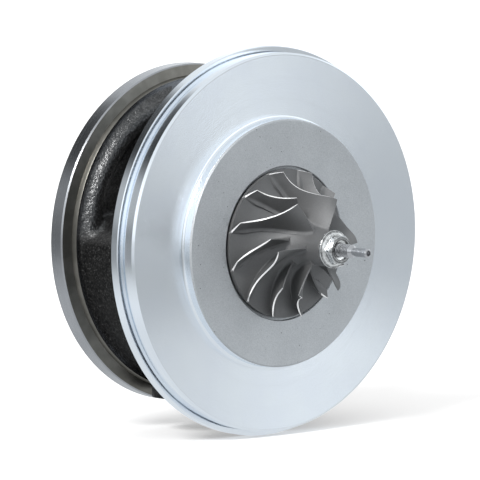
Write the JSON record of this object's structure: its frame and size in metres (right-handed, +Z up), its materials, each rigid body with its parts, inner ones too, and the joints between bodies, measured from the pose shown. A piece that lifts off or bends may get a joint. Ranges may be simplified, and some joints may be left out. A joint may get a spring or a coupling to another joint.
{
  "type": "turbocharger centre cartridge",
  "caption": "Turbocharger centre cartridge: a cast bearing housing and aluminium seal plate carry a spinning shaft with a bladed compressor wheel and a turbine wheel.",
  "frame": {"origin": "on the shaft axis, in the plane of the seal plate's ledge on which the compressor housing seats", "axes": "shaft along Y with the compressor towards -Y and the turbine towards +Y, +Z up at the oil inlet, oil drain towards -Z"},
  "size_m": [0.147, 0.1372, 0.147],
  "materials": {
    "turned_aluminium": "turned bright, centre matte from blasting",
    "milled_aluminium": "dark satin, bright milled blade edges",
    "bright_steel": "bright turned",
    "cast_heat_alloy": "grey-brown investment cast",
    "ground_steel": "ground",
    "bronze": "turned",
    "sheet_steel": "pressed sheet",
    "spring_steel": "dark oiled",
    "black_rubber": "matte",
    "black_cast_iron": "black sand-cast skin with machined flange"
  },
  "bodies": {
    "housing": {"seal_plate": "turned_aluminium", "thrust_bearing": "bronze", "thrust_bearing_pins": "ground_steel", "oil_deflector": "sheet_steel", "bush_circlips": "spring_steel", "compressor_piston_ring": "spring_steel", "turbine_piston_ring": "spring_steel", "seal_plate_o_ring": "black_rubber", "seal_plate_screws": "bright_steel", "heat_shield": "sheet_steel", "turbine_locating_pin": "ground_steel", "bearing_housing": "black_cast_iron"},
    "rotor": {"rotor_shaft": "bright_steel", "compressor_wheel": "milled_aluminium", "shaft_nut": "bright_steel", "turbine_wheel": "cast_heat_alloy", "oil_flinger": "ground_steel", "thrust_collar": "ground_steel"},
    "front_bush": {"front_journal_bush": "bronze"},
    "rear_bush": {"rear_journal_bush": "bronze"}
  },
  "joints": [
    {"name": "rotor_spin", "type": "hinge", "parent": "housing", "child": "rotor", "pos_m": [0, 0, 0], "axis": [0, 1, 0], "continuous": true},
    {"name": "front_bush_float", "type": "hinge", "parent": "housing", "child": "front_bush", "pos_m": [0, 0.0209, 0], "axis": [0, 1, 0], "continuous": true},
    {"name": "rear_bush_float", "type": "hinge", "parent": "housing", "child": "rear_bush", "pos_m": [0, 0.0376, 0], "axis": [0, 1, 0], "continuous": true}
  ]
}
